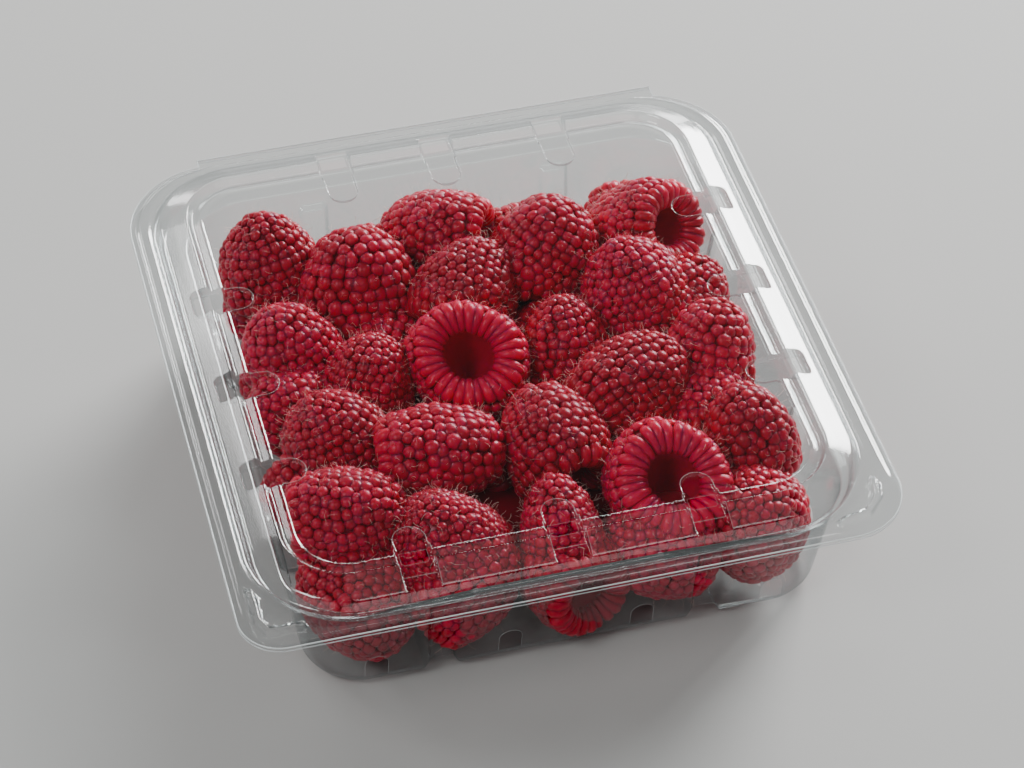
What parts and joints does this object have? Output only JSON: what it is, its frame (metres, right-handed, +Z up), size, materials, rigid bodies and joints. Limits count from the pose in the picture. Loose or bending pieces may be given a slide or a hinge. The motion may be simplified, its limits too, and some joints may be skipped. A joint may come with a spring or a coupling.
{
  "type": "berry punnet",
  "caption": "Clear thermoformed punnet with a ribbed, vented lid hinged along its back flange, filled with raspberries.",
  "frame": {"origin": "middle of the flanges' box at the height of the surface the tray stands on", "axes": "+Z up, +Y towards the hinge at the back, +X right when seen from the opening side"},
  "size_m": [0.125, 0.1309, 0.0345],
  "materials": {
    "clear_pet": "clear thermoformed PET sheet, glossy",
    "raspberry": "ripe raspberry skin, satin with a soft bloom"
  },
  "bodies": {
    "tray": {"tray": "clear_pet", "berries": "raspberry"},
    "lid": {"lid": "clear_pet"}
  },
  "joints": [
    {"name": "lid_hinge", "type": "hinge", "parent": "tray", "child": "lid", "pos_m": [0, 0.0655, 0.03], "axis": [-1, 0, 0], "range_deg": [0, 180]}
  ]
}
